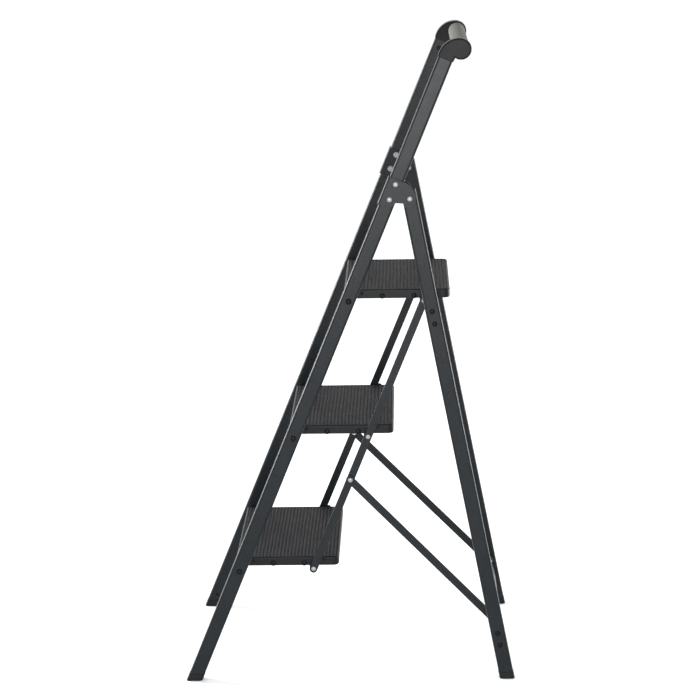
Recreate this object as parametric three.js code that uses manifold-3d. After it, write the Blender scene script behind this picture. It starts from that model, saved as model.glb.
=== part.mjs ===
// Folding three-tread step stool with a tall handrail.
// Millimetres, +Z up. X runs across the stool, the climber comes from -Y.
// The origin is on the floor, in the middle of the four feet.
//
// The front rails, rear legs, hinge brackets, link bars and braces of one side all lie in
// planes parallel to one leaning side plane. They are drawn in that plane's own frame:
// x = distance outward from the outer face of the front rail, y = world Y, z = up the plane.

import * as THREE from 'three';
import { mergeVertices } from 'three/addons/utils/BufferGeometryUtils.js';
import Module from 'manifold-3d';

const wasm = await Module();
wasm.setup();

const { degToRad } = THREE.MathUtils;

// ---------------------------------------------------------------- driving dimensions

const FOOT_HALF_WIDTH = 218.4; // outer face of a front rail at the floor
const SIDE_LEAN = degToRad(1.55); // both sides lean in towards the top
const RAIL_LEAN = degToRad(22.58);
const LEG_LEAN = degToRad(10.76);
const RAIL_FOOT_Y = -311.5;
const LEG_FOOT_Y = 312.4;
const HINGE_Z = 964.9;

const TUBE_DEEP = 28.6; // tube size seen from the side
const TUBE_THICK = 20; // tube size across the stool
const TUBE_WALL = 1.2;
const TUBE_CORNER = 4;
const RAIL_TOP = 1328; // length of a rail along its own centre line
const LEG_ABOVE_HINGE = 16;

const FIRST_PIVOT_Z = 227.5;
const PIVOT_SETBACK = 2; // pivots behind the centre line of a rail
const TREAD_SPACING = 270;
const TREAD_GAP = 31.3; // from the inner face of a rail to the side of a tread
const TREAD_FRONT = -10; // tread edges, measured from its pivot
const TREAD_REAR = 195;
const TREAD_TOP = 12;
const TREAD_SKIRT = 17.7;
const TREAD_CORNERS = { front: 3, rear: 12 };
const PAN_SHEET = 1.6;
const MAT_RIM = 4;
const MAT_RECESS = 2.5;
const MAT_GAP = 0.5;
const ROD_PLACES = { front: 64, rear: 125.5 };
const ROD_Z = -1.2;

const LINK_RIVET_Y = 144.5; // link rivet, measured from the tread pivot
const LINK_RIVET_Z = -9.1;
const LINK_PLANE = -42.1;
const BAR_WIDE = 15.4;
const BAR_THICK = 3;
const BRACE_BELOW_RIVET = 93.9; // brace rivet, measured down the link from the middle rivet
const BRACE_LEG_LENGTH = 874; // brace pin, measured down the leg from the hinge
const BRACE_PLANE = LINK_PLANE + BAR_THICK + 0.5;

const BRACKET_SHEET = 2;
const BRACKET_GAP = 0.7;
const BRACKET_RIVETS = { upper: 1075.8, lower: 1044.7 };
const BRACKET_RIVET_SETBACK = 1;

const CROSSBAR_HEIGHTS = { upper: 734, lower: 83 };
const CROSSBAR_TALL = 37;
const CROSSBAR_DEEP = 10.1;
const CROSSBAR_BACK = 7; // from the line of the bolts to its back
const CROSSBAR_SHEET = 1.5;
const CROSSBAR_BOLT_RISE = 12.4;
const CROSSBAR_SETBACK = -1; // behind the centre line of a leg

const SHOE_TALL = 16;
const SHOE_PROUD = 0.8;
const PLUG_LONG = 26;

const CAP_DISC = { s: 1356.2, n: 20.2, radius: 19.7 };
const CAP_CREST = { s: 1336, n: 25, radius: 41 };
const CAP_PROUD = 1.2;
const CAP_NECK = { s: 1337.7, n: 16.5 };
const CAP_SCREW_S = 1311;
const GRIP_RADIUS = 16.5;
const GRIP_CORE_RADIUS = 11;
const GRIP_SOCKET_DEEP = 12;

const GAP = 0.3; // between neighbouring pieces
const HEAD_GAP = 0.5; // under the head of a fastener that crosses a leaning face

// ---------------------------------------------------------------- materials

const material = (color, roughness, metalness) =>
  new THREE.MeshStandardMaterial({ color, roughness, metalness });

const PAINT = material(0x3a3d40, 0.45, 0.2);
const MAT_RUBBER = material(0x3b3836, 0.85, 0);
const BLACK_PLASTIC = material(0x2a2b2c, 0.5, 0);
const ZINC = material(0xc4c8cb, 0.3, 0.9);
const BLACK_STEEL = material(0x1c1d1f, 0.4, 0.6);
const FOAM = material(0x83857e, 0.9, 0);
const BARE_STEEL = material(0x8d9093, 0.4, 0.8);

// ---------------------------------------------------------------- frames

const sin = Math.sin;
const cos = Math.cos;
const tan = Math.tan;

const rightSide = new THREE.Group();
rightSide.position.x = FOOT_HALF_WIDTH;
rightSide.rotation.y = -SIDE_LEAN;
rightSide.updateMatrixWorld();

const leftSide = new THREE.Group();
leftSide.position.x = -FOOT_HALF_WIDTH;
leftSide.rotation.y = SIDE_LEAN;

const stool = new THREE.Group();
stool.add(rightSide, leftSide);

const worldToSide = rightSide.matrixWorld.clone().invert();

// World X of the plane that lies a given distance outward of the rails' outer face.
const faceX = (outward, z) => FOOT_HALF_WIDTH - z * tan(SIDE_LEAN) + outward / cos(SIDE_LEAN);

// World [y, z] of a point s up a front rail's centre line and n behind it.
function onRail(s, n = 0) {
  const y = RAIL_FOOT_Y + s * sin(RAIL_LEAN) + n * cos(RAIL_LEAN);
  const up = s * cos(RAIL_LEAN) - n * sin(RAIL_LEAN);
  return [y, up * cos(SIDE_LEAN)];
}

const railY = (z) => RAIL_FOOT_Y + z * tan(RAIL_LEAN);
const legY = (z) => LEG_FOOT_Y - z * tan(LEG_LEAN);

const HINGE_Y = legY(HINGE_Z);
const TREADS = ['bottom', 'middle', 'top'].map((name, index) => {
  const z = FIRST_PIVOT_Z + index * TREAD_SPACING;
  const y = railY(z) + PIVOT_SETBACK / cos(RAIL_LEAN);
  const halfWidth = faceX(-TUBE_THICK, z + TREAD_TOP) - TREAD_GAP;
  return { name, y, z, halfWidth };
});

// ---------------------------------------------------------------- geometry helpers

function signedVolume(geometry) {
  const place = geometry.getAttribute('position');
  const index = geometry.getIndex();
  const corner = [new THREE.Vector3(), new THREE.Vector3(), new THREE.Vector3()];
  let sum = 0;
  for (let i = 0; i < index.count; i += 3) {
    corner.forEach((point, k) => point.fromBufferAttribute(place, index.getX(i + k)));
    sum += corner[0].dot(corner[1].clone().cross(corner[2])) / 6;
  }
  return sum;
}

function flip(geometry) {
  const index = geometry.getIndex();
  for (let i = 0; i < index.count; i += 3) {
    const kept = index.getX(i + 1);
    index.setX(i + 1, index.getX(i + 2));
    index.setX(i + 2, kept);
  }
  return geometry;
}

// One closed skin with shared corners, no empty triangles and its faces turned outward.
function welded(geometry) {
  const bare = geometry.clone();
  bare.deleteAttribute('normal');
  bare.deleteAttribute('uv');
  const merged = mergeVertices(bare, 1e-4);
  const index = Array.from(merged.getIndex().array);
  const kept = [];
  for (let i = 0; i < index.length; i += 3) {
    const [a, b, c] = index.slice(i, i + 3);
    if (a !== b && b !== c && c !== a) kept.push(a, b, c);
  }
  merged.setIndex(kept);
  return signedVolume(merged) < 0 ? flip(merged) : merged;
}

function toSolid(geometry) {
  const skin = welded(geometry);
  const vertProperties = new Float32Array(skin.getAttribute('position').array);
  const triVerts = new Uint32Array(skin.getIndex().array);
  return new wasm.Manifold(new wasm.Mesh({ numProp: 3, vertProperties, triVerts }));
}

function toGeometry(solid) {
  const mesh = solid.getMesh();
  const geometry = new THREE.BufferGeometry();
  geometry.setAttribute('position', new THREE.BufferAttribute(mesh.vertProperties, 3));
  geometry.setIndex(new THREE.BufferAttribute(mesh.triVerts, 1));
  return geometry;
}

const join = (...pieces) => toGeometry(pieces.map(toSolid).reduce((all, one) => all.add(one)));
const cut = (piece, ...tools) =>
  toGeometry(tools.map(toSolid).reduce((left, tool) => left.subtract(tool), toSolid(piece)));

function mirrored(geometry) {
  const copy = geometry.clone();
  copy.scale(-1, 1, 1);
  return flip(copy);
}

function roundedRectangle(x, y, wide, tall, radius) {
  const shape = new THREE.Shape();
  const right = x + wide / 2 - radius;
  const left = x - wide / 2 + radius;
  const high = y + tall / 2 - radius;
  const low = y - tall / 2 + radius;
  shape.absarc(right, high, radius, 0, Math.PI / 2);
  shape.absarc(left, high, radius, Math.PI / 2, Math.PI);
  shape.absarc(left, low, radius, Math.PI, 1.5 * Math.PI);
  shape.absarc(right, low, radius, 1.5 * Math.PI, 2 * Math.PI);
  return shape;
}

function extruded(shape, depth, curveSegments = 2) {
  return new THREE.ExtrudeGeometry(shape, { depth, curveSegments, bevelEnabled: false });
}

// A flat plate drawn as [n, s] in the side plane, between two distances outward.
function plate(shape, inner, outer, curveSegments = 4) {
  const geometry = extruded(shape, outer - inner, curveSegments);
  const order = new THREE.Matrix4().set(0, 0, 1, inner, 1, 0, 0, 0, 0, 1, 0, 0, 0, 0, 0, 1);
  return geometry.applyMatrix4(order);
}

// Leans a piece drawn along +Z so that it follows a rail (or, with a negative angle, a leg).
const leaned = (geometry, angle, footY) => geometry.rotateX(-angle).translate(0, footY, 0);

// A prism along +Z whose two ends are cut where low(x, y) and high(x, y) say.
function prism(shape, low, high) {
  const geometry = extruded(shape, 1);
  const place = geometry.getAttribute('position');
  for (let i = 0; i < place.count; i += 1) {
    const end = place.getZ(i) < 0.5 ? low : high;
    place.setZ(i, end(place.getX(i), place.getY(i)));
  }
  return geometry;
}

// End cut of a leaning prism that is level at world height z.
const levelCut = (z, angle) => (x, y) =>
  ((z - x * sin(SIDE_LEAN)) / cos(SIDE_LEAN) + y * sin(angle)) / cos(angle);

const tubeOutline = (grow) =>
  roundedRectangle(
    -TUBE_THICK / 2,
    0,
    TUBE_THICK + 2 * grow,
    TUBE_DEEP + 2 * grow,
    TUBE_CORNER + grow,
  );

function tubeSection() {
  const shape = tubeOutline(0);
  shape.holes.push(tubeOutline(-TUBE_WALL));
  return shape;
}

// A body of revolution about X from [x, radius] steps, listed from the inside outward.
function turned(steps, segments = 8) {
  const first = new THREE.Vector2(0, steps[0][0]);
  const last = new THREE.Vector2(0, steps[steps.length - 1][0]);
  const profile = [first, ...steps.map(([x, radius]) => new THREE.Vector2(radius, x)), last];
  return welded(new THREE.LatheGeometry(profile, segments).rotateZ(-Math.PI / 2));
}

// A drill along world X.
const drill = (radius, x1, x2, y, z, segments = 8) =>
  new THREE.CylinderGeometry(radius, radius, x2 - x1, segments)
    .rotateZ(Math.PI / 2)
    .translate((x1 + x2) / 2, y, z);

const sideDrill = (...numbers) => drill(...numbers).applyMatrix4(worldToSide);

// Low dome of a fastener's head that stands outward from x.
const dome = (x, radius, tall) => [
  [x, radius],
  [x + 0.6 * tall, 0.85 * radius],
  [x + tall, 0.35 * radius],
];

// Flat button on the inner end of a fastener, from x inward.
const tail = (x, radius, tall) => [
  [x - tall, 0.85 * radius],
  [x, radius],
];

// ---------------------------------------------------------------- adding pieces

function addMesh(parent, name, geometry, finish) {
  const mesh = new THREE.Mesh(geometry, finish);
  mesh.name = name;
  parent.add(mesh);
  return mesh;
}

// A piece drawn in the right side's frame, and its mirror image.
function addSidePair(name, geometry, finish) {
  addMesh(rightSide, `${name}_right`, geometry, finish);
  addMesh(leftSide, `${name}_left`, mirrored(geometry), finish);
}

// A pin that lies along world X on the right, and its mirror image.
function addPinPair(name, geometry, y, z, finish) {
  addMesh(stool, `${name}_right`, geometry, finish).position.set(0, y, z);
  addMesh(stool, `${name}_left`, mirrored(geometry), finish).position.set(0, y, z);
}

// ---------------------------------------------------------------- front rails and rear legs

const PIN_HOLE = 3.9;
const HINGE_HOLE = 5;
const BOLT_HOLE = 3.3;
const TAB_HOLE = 2.8;

const throughTube = (radius, y, z) =>
  sideDrill(radius, faceX(-TUBE_THICK, z) - 6, faceX(0, z) + 6, y, z);
const innerWall = (radius, y, z) =>
  sideDrill(radius, faceX(-TUBE_THICK, z) - 6, faceX(-TUBE_THICK, z) + 5, y, z);

const bracketRivets = Object.values(BRACKET_RIVETS).map((s) => onRail(s, BRACKET_RIVET_SETBACK));

function frontRail() {
  const tube = prism(tubeSection(), levelCut(SHOE_TALL, RAIL_LEAN), () => RAIL_TOP);
  return cut(
    leaned(tube, RAIL_LEAN, RAIL_FOOT_Y),
    ...TREADS.map(({ y, z }) => throughTube(PIN_HOLE, y, z)),
    ...bracketRivets.map(([y, z]) => throughTube(PIN_HOLE, y, z)),
    innerWall(BOLT_HOLE, ...onRail(CAP_SCREW_S)),
  );
}

const barY = (z) => legY(z) + CROSSBAR_SETBACK / cos(LEG_LEAN);
const crossbarBolts = (z) => [-1, 1].map((end) => z + end * CROSSBAR_BOLT_RISE * cos(LEG_LEAN));

const BRACE_PIN_Y = HINGE_Y + BRACE_LEG_LENGTH * sin(LEG_LEAN);
const BRACE_PIN_Z = HINGE_Z - BRACE_LEG_LENGTH * cos(LEG_LEAN);

function rearLeg() {
  const top = HINGE_Z / cos(SIDE_LEAN) / cos(LEG_LEAN) + LEG_ABOVE_HINGE;
  const tube = prism(tubeSection(), levelCut(SHOE_TALL, -LEG_LEAN), () => top);
  const boltHeights = Object.values(CROSSBAR_HEIGHTS).flatMap(crossbarBolts);
  return cut(
    leaned(tube, -LEG_LEAN, LEG_FOOT_Y),
    throughTube(HINGE_HOLE, HINGE_Y, HINGE_Z),
    ...boltHeights.map((z) => throughTube(BOLT_HOLE, barY(z), z)),
    innerWall(BOLT_HOLE, BRACE_PIN_Y, BRACE_PIN_Z),
  );
}

// Shoe that closes the bottom of a tube: level sole, plug up inside the tube.
function shoe(angle, footY) {
  const sole = levelCut(0, angle);
  const seam = levelCut(SHOE_TALL - GAP, angle);
  const block = prism(tubeOutline(SHOE_PROUD), sole, seam);
  const plugTop = SHOE_TALL / cos(angle) + PLUG_LONG;
  const plug = prism(tubeOutline(-TUBE_WALL - GAP), levelCut(SHOE_TALL / 2, angle), () => plugTop);
  return leaned(join(block, plug), angle, footY);
}

addSidePair('front_rail', frontRail(), PAINT);
addSidePair('rear_leg', rearLeg(), PAINT);
addSidePair('front_foot', shoe(RAIL_LEAN, RAIL_FOOT_Y), BLACK_PLASTIC);
addSidePair('rear_foot', shoe(-LEG_LEAN, LEG_FOOT_Y), BLACK_PLASTIC);

// ---------------------------------------------------------------- hinge brackets

const BRACKET_FRONT = -TUBE_DEEP / 2 - BRACKET_GAP - BRACKET_SHEET;

// Side plate of the folded bracket, [n, s]: it covers the rail and reaches back to the leg pin.
function bracketOutline() {
  const shape = new THREE.Shape();
  shape.moveTo(BRACKET_FRONT, 1028);
  shape.lineTo(0, 1028.5);
  shape.absarc(0, 1042.5, 14, -Math.PI / 2, 0);
  shape.lineTo(27.8, 1047);
  shape.absarc(37.5, 1052.5, 11.3, degToRad(-125), 0);
  shape.absarc(16.5, 1052.8, 32.4, 0, Math.PI / 2);
  shape.lineTo(BRACKET_FRONT + 4, 1085);
  shape.absarc(BRACKET_FRONT + 4, 1081, 4, Math.PI / 2, Math.PI);
  return shape;
}

function hingeBracket() {
  const outer = BRACKET_GAP + BRACKET_SHEET;
  const inner = -TUBE_THICK - outer;
  const web = new THREE.Shape();
  web.moveTo(BRACKET_FRONT, 1028);
  web.lineTo(BRACKET_FRONT + BRACKET_SHEET, 1028);
  web.lineTo(BRACKET_FRONT + BRACKET_SHEET, 1081);
  web.lineTo(BRACKET_FRONT, 1081);
  const folded = join(
    plate(bracketOutline(), BRACKET_GAP, outer),
    plate(bracketOutline(), inner, inner + BRACKET_SHEET),
    plate(web, inner, outer),
  );
  return cut(
    leaned(folded, RAIL_LEAN, RAIL_FOOT_Y),
    ...bracketRivets.map(([y, z]) => throughTube(PIN_HOLE, y, z)),
    throughTube(HINGE_HOLE, HINGE_Y, HINGE_Z),
  );
}

// Rivet through both bracket plates and the tube between them.
function bracketRivet(shank, z) {
  const outer = faceX(BRACKET_GAP + BRACKET_SHEET, z) + HEAD_GAP;
  const inner = faceX(-TUBE_THICK - BRACKET_GAP - BRACKET_SHEET, z) - HEAD_GAP;
  return turned([...tail(inner, 6, 2), [inner, shank], [outer, shank], ...dome(outer, 5.4, 2.6)]);
}

addSidePair('hinge_bracket', hingeBracket(), PAINT);
Object.keys(BRACKET_RIVETS).forEach((name, index) => {
  const [y, z] = bracketRivets[index];
  addPinPair(`bracket_rivet_${name}`, bracketRivet(3, z), y, z, ZINC);
});
addPinPair('hinge_pin', bracketRivet(4, HINGE_Z), HINGE_Y, HINGE_Z, ZINC);

// ---------------------------------------------------------------- rear crossbars

// Trapezium [x, t] that reaches from leg to leg, t measured up the legs.
function crossbarOutline(z, inset) {
  const half = CROSSBAR_TALL / 2 - inset;
  const reach = (t) => faceX(-TUBE_THICK, z + t * cos(LEG_LEAN)) - HEAD_GAP - inset;
  const shape = new THREE.Shape();
  shape.moveTo(reach(-half), -half);
  shape.lineTo(reach(half), half);
  shape.lineTo(-reach(half), half);
  shape.lineTo(-reach(-half), -half);
  return shape;
}

// Room round the lower end of each brace.
function braceNotches() {
  const start = faceX(BRACE_PLANE - 8, BRACE_PIN_Z);
  const end = faceX(-TUBE_THICK, BRACE_PIN_Z) + 2;
  const notch = drill(BAR_WIDE / 2 + 1.5, start, end, BRACE_PIN_Y, BRACE_PIN_Z, 12);
  return [notch, mirrored(welded(notch))];
}

// Folded sheet channel, open to the front, with a bolted tab at each end.
function crossbar(z) {
  const block = extruded(crossbarOutline(z, 0), CROSSBAR_DEEP);
  const pocket = extruded(crossbarOutline(z, CROSSBAR_SHEET), CROSSBAR_DEEP);
  pocket.translate(0, 0, CROSSBAR_SHEET);
  const channel = cut(block, pocket);
  channel.translate(0, 0, -CROSSBAR_BACK);
  channel.rotateX(Math.PI / 2 + LEG_LEAN);
  channel.translate(0, barY(z), z);
  const reach = FOOT_HALF_WIDTH;
  const holes = crossbarBolts(z).map((height) =>
    drill(TAB_HOLE, -reach, reach, barY(height), height),
  );
  return cut(channel, ...holes, ...braceNotches());
}

function crossbarBolt(z) {
  const outer = faceX(0, z) + HEAD_GAP;
  const inner = faceX(-TUBE_THICK, z) - 2 * HEAD_GAP - CROSSBAR_SHEET;
  return turned([...tail(inner, 4.5, 3.5), [inner, 2.5], [outer, 2.5], ...dome(outer, 5, 2.8)]);
}

for (const [name, z] of Object.entries(CROSSBAR_HEIGHTS)) {
  addMesh(stool, `crossbar_${name}`, crossbar(z), PAINT);
  const [, upperBolt] = crossbarBolts(z);
  addPinPair(`crossbar_bolt_${name}`, crossbarBolt(upperBolt), barY(upperBolt), upperBolt, BLACK_STEEL);
}

// ---------------------------------------------------------------- treads

const PAN_BOTTOM = TREAD_TOP - TREAD_SKIRT;
const TREAD_DEPTH = TREAD_REAR - TREAD_FRONT;
const INNER_CORNERS = {
  front: TREAD_CORNERS.front - PAN_SHEET,
  rear: TREAD_CORNERS.rear - PAN_SHEET,
};
const RECESS_CORNERS = { front: 1, rear: 8 };
const LUG_RADIUS = 8.5;
const ROD_HOLE = 2.8;

// Block between two heights with the tread's plan, drawn in by the inset.
function panBlock(halfWidth, inset, corners, low, high) {
  const { front, rear } = corners;
  const wide = halfWidth - inset;
  const start = TREAD_FRONT + inset;
  const end = TREAD_REAR - inset;
  const outline = new THREE.Shape();
  outline.absarc(wide - rear, end - rear, rear, 0, Math.PI / 2);
  outline.absarc(rear - wide, end - rear, rear, Math.PI / 2, Math.PI);
  outline.absarc(front - wide, start + front, front, Math.PI, 1.5 * Math.PI);
  outline.absarc(wide - front, start + front, front, 1.5 * Math.PI, 2 * Math.PI);
  return extruded(outline, high - low).translate(0, 0, low);
}

// Pressed tray: a rim round the mat on top, skirts all round, and a lug for each link rivet.
function treadPan(halfWidth) {
  const skin = halfWidth - PAN_SHEET;
  const plateBottom = TREAD_TOP - MAT_RECESS - PAN_SHEET;
  const lugs = [drill(LUG_RADIUS, skin, halfWidth, LINK_RIVET_Y, LINK_RIVET_Z, 14)];
  lugs.push(mirrored(welded(lugs[0])));
  const tray = cut(
    panBlock(halfWidth, 0, TREAD_CORNERS, PAN_BOTTOM, TREAD_TOP),
    panBlock(halfWidth, PAN_SHEET, INNER_CORNERS, PAN_BOTTOM - 1, plateBottom),
    panBlock(halfWidth, MAT_RIM, RECESS_CORNERS, TREAD_TOP - MAT_RECESS, TREAD_TOP + 1),
  );
  const across = [-halfWidth - 1, halfWidth + 1];
  return cut(
    join(tray, ...lugs),
    drill(PIN_HOLE, ...across, 0, 0),
    drill(PIN_HOLE, ...across, LINK_RIVET_Y, LINK_RIVET_Z),
    ...Object.values(ROD_PLACES).map((y) => drill(ROD_HOLE, ...across, y, ROD_Z)),
  );
}

// Mat in the tray's recess, level with the rim.
function treadMat(halfWidth) {
  const inset = MAT_RIM + MAT_GAP;
  const corners = { front: 0.5, rear: 7.5 };
  return panBlock(halfWidth, inset, corners, TREAD_TOP - MAT_RECESS + GAP, TREAD_TOP);
}

// Tie rod between a tread's side skirts, riveted over outside them.
function treadRod(halfWidth) {
  const inside = halfWidth - PAN_SHEET - GAP;
  const outside = halfWidth + GAP;
  const half = [[inside, 4], [inside, 2.4], [outside, 2.4], ...dome(outside, 5.2, 2.6)];
  const otherHalf = half.map(([x, radius]) => [-x, radius]).reverse();
  return turned([...otherHalf, ...half]);
}

// Pivot bolt with a shoulder that keeps the tread clear of the rail.
function treadBolt({ z, halfWidth }) {
  const head = faceX(0, z) + HEAD_GAP;
  const shoulderEnd = faceX(-TUBE_THICK, z) - HEAD_GAP;
  const shoulderStart = halfWidth + GAP;
  const nut = halfWidth - PAN_SHEET - GAP;
  return turned([
    ...tail(nut, 5, 4),
    [nut, 3],
    [shoulderStart, 3],
    [shoulderStart, 5],
    [shoulderEnd, 5],
    [shoulderEnd, 3],
    [head, 3],
    ...dome(head, 5.8, 3.6),
  ]);
}

for (const tread of TREADS) {
  const { name, y, z, halfWidth } = tread;
  addMesh(stool, `tread_pan_${name}`, treadPan(halfWidth), PAINT).position.set(0, y, z);
  addMesh(stool, `tread_mat_${name}`, treadMat(halfWidth), MAT_RUBBER).position.set(0, y, z);
  for (const [place, rodY] of Object.entries(ROD_PLACES)) {
    const rod = addMesh(stool, `tread_rod_${place}_${name}`, treadRod(halfWidth), BLACK_STEEL);
    rod.position.set(0, y + rodY, z + ROD_Z);
  }
  addPinPair(`tread_bolt_${name}`, treadBolt(tread), y, z, BLACK_STEEL);
}

// ---------------------------------------------------------------- link bars and braces

const linkRivets = TREADS.map(({ y, z }) => [y + LINK_RIVET_Y, z + LINK_RIVET_Z]);
const [, middleRivet] = linkRivets;
const BRACE_RIVET_Y = middleRivet[0] - BRACE_BELOW_RIVET * sin(RAIL_LEAN);
const BRACE_RIVET_Z = middleRivet[1] - BRACE_BELOW_RIVET * cos(RAIL_LEAN);

// Round-ended bar drawn up +Z from its first hole to its last, at the given plane.
function flatBar(length, centre) {
  const half = BAR_WIDE / 2;
  const shape = new THREE.Shape();
  shape.absarc(0, length, half, 0, Math.PI);
  shape.absarc(0, 0, half, Math.PI, 2 * Math.PI);
  return plate(shape, centre - BAR_THICK / 2, centre + BAR_THICK / 2, 6);
}

// Height in the side frame of a world height, in the plane a given distance outward.
const sideHeight = (outward, z) => (z - outward * sin(SIDE_LEAN)) / cos(SIDE_LEAN);

// Bar between two world [y, z] points, in the given plane.
function barBetween(start, end, centre) {
  const low = sideHeight(centre, start[1]);
  const run = end[0] - start[0];
  const rise = sideHeight(centre, end[1]) - low;
  const bar = flatBar(Math.hypot(run, rise), centre);
  return bar.rotateX(-Math.atan2(run, rise)).translate(0, start[0], low);
}

const barHole = (radius, centre, y, z) =>
  sideDrill(radius, faceX(centre, z) - 5, faceX(centre, z) + 5, y, z);

function linkBar() {
  const [low, , high] = linkRivets;
  const holes = linkRivets.map(([y, z]) => barHole(PIN_HOLE, LINK_PLANE, y, z));
  return cut(barBetween(low, high, LINK_PLANE), ...holes);
}

// The brace runs just outside the link, from the rear leg's pin up to its rivet.
function braceBar() {
  const foot = [BRACE_PIN_Y, BRACE_PIN_Z];
  const head = [BRACE_RIVET_Y, BRACE_RIVET_Z];
  const holes = [foot, head].map(([y, z]) => barHole(BOLT_HOLE, BRACE_PLANE, y, z));
  return cut(barBetween(foot, head, BRACE_PLANE), ...holes);
}

// Rivet of the link bar in a tread's lug, with its spacer between the two.
function linkRivet(halfWidth, z) {
  const outer = faceX(LINK_PLANE + BAR_THICK / 2, z) + HEAD_GAP;
  const inner = faceX(LINK_PLANE - BAR_THICK / 2, z) - HEAD_GAP;
  const lug = halfWidth - PAN_SHEET - GAP;
  return turned([
    ...tail(lug, 5.5, 2),
    [lug, 3],
    [halfWidth + GAP, 3],
    [halfWidth + GAP, 6.5],
    [inner, 6.5],
    [inner, 3],
    [outer, 3],
    ...dome(outer, 5.4, 2.4),
  ]);
}

// Rivet of the brace on the link: it ends short of the link, where the linkage is opened.
function braceRivet() {
  const outer = faceX(BRACE_PLANE + BAR_THICK / 2, BRACE_RIVET_Z) + HEAD_GAP;
  const inner = faceX(BRACE_PLANE - BAR_THICK / 2, BRACE_RIVET_Z);
  return turned([[inner, 2.5], [outer, 2.5], ...dome(outer, 5.4, 2.4)]);
}

// Pin of the brace through the inner wall of the rear leg, with its spacer between the two.
function bracePin() {
  const wall = faceX(-TUBE_THICK + TUBE_WALL, BRACE_PIN_Z) + HEAD_GAP;
  const legFace = faceX(-TUBE_THICK, BRACE_PIN_Z) - HEAD_GAP;
  const braceFace = faceX(BRACE_PLANE + BAR_THICK / 2, BRACE_PIN_Z) + HEAD_GAP;
  const head = faceX(BRACE_PLANE - BAR_THICK / 2, BRACE_PIN_Z) - HEAD_GAP;
  return turned([
    ...tail(head, 5.4, 2.4),
    [head, 2.5],
    [braceFace, 2.5],
    [braceFace, 5.5],
    [legFace, 5.5],
    [legFace, 2.5],
    [wall, 2.5],
    ...dome(wall, 4.6, 2),
  ]);
}

addSidePair('link_bar', linkBar(), PAINT);
addSidePair('brace', braceBar(), PAINT);
TREADS.forEach(({ name, halfWidth }, index) => {
  const [y, z] = linkRivets[index];
  addPinPair(`link_rivet_${name}`, linkRivet(halfWidth, z), y, z, ZINC);
});
addPinPair('brace_rivet', braceRivet(), BRACE_RIVET_Y, BRACE_RIVET_Z, ZINC);
addPinPair('brace_pin', bracePin(), BRACE_PIN_Y, BRACE_PIN_Z, ZINC);

// ---------------------------------------------------------------- handle

const [GRIP_Y, GRIP_Z] = onRail(CAP_DISC.s, CAP_DISC.n);
const CAP_FOOT = RAIL_TOP + GAP;

// Goose-neck outline [n, s]: it carries on the rail, bends over and ends in a disc.
function capOutline() {
  const proud = TUBE_DEEP / 2 + CAP_PROUD;
  const meet = Math.atan2(CAP_DISC.s - CAP_CREST.s, CAP_DISC.n - CAP_CREST.n);
  const neck = Math.atan2(CAP_NECK.s - CAP_DISC.s, CAP_NECK.n - CAP_DISC.n);
  const shape = new THREE.Shape();
  shape.moveTo(-proud, CAP_FOOT);
  shape.lineTo(proud, CAP_FOOT);
  shape.absarc(CAP_DISC.n, CAP_DISC.s, CAP_DISC.radius, neck, meet);
  shape.absarc(CAP_CREST.n, CAP_CREST.s, CAP_CREST.radius, meet, Math.PI);
  return shape;
}

function handleCap() {
  const body = plate(capOutline(), -TUBE_THICK - SHOE_PROUD, SHOE_PROUD, 7);
  const plugOutline = tubeOutline(-TUBE_WALL - GAP);
  const plug = prism(plugOutline, () => RAIL_TOP - PLUG_LONG, () => RAIL_TOP + 5);
  const screwHole = innerWall(BOLT_HOLE, ...onRail(CAP_SCREW_S));
  const inner = faceX(-TUBE_THICK - SHOE_PROUD, GRIP_Z);
  const socket = [GRIP_CORE_RADIUS + GAP, inner - 10, inner + GRIP_SOCKET_DEEP, GRIP_Y, GRIP_Z, 16];
  return cut(leaned(join(body, plug), RAIL_LEAN, RAIL_FOOT_Y), screwHole, sideDrill(...socket));
}

// Round tube along X with open ends.
function roundTube(outer, inner, halfLength, segments) {
  const shape = new THREE.Shape().absarc(0, 0, outer, 0, 2 * Math.PI);
  shape.holes.push(new THREE.Path().absarc(0, 0, inner, 0, 2 * Math.PI));
  return plate(shape, -halfLength, halfLength, segments);
}

function capScrew(z) {
  const face = faceX(-TUBE_THICK, z);
  const head = dome(0, 3.8, 2).map(([x, radius]) => [face - HEAD_GAP - x, radius]);
  return turned([...head.reverse(), [face - HEAD_GAP, 2.4], [face + 5, 2.4]]);
}

addSidePair('handle_cap', handleCap(), BLACK_PLASTIC);
const [SCREW_Y, SCREW_Z] = onRail(CAP_SCREW_S);
addPinPair('cap_screw', capScrew(SCREW_Z), SCREW_Y, SCREW_Z, BLACK_STEEL);

const capFace = faceX(-TUBE_THICK - SHOE_PROUD, GRIP_Z + GRIP_RADIUS);
const coreEnd = faceX(-TUBE_THICK - SHOE_PROUD, GRIP_Z) + GRIP_SOCKET_DEEP - 1;
const core = roundTube(GRIP_CORE_RADIUS, GRIP_CORE_RADIUS - TUBE_WALL, coreEnd, 8);
addMesh(stool, 'grip_core', core, BARE_STEEL).position.set(0, GRIP_Y, GRIP_Z);
const sleeve = roundTube(GRIP_RADIUS, GRIP_CORE_RADIUS + 2 * GAP, capFace - GAP, 8);
addMesh(stool, 'grip_sleeve', sleeve, FOAM).position.set(0, GRIP_Y, GRIP_Z);

export default stool;
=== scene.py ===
"""Looks of the folding step stool: its detailed pieces, materials, lights and camera."""

import math

import bmesh
import bpy
import numpy as np
from mathutils import Matrix, Vector


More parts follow.
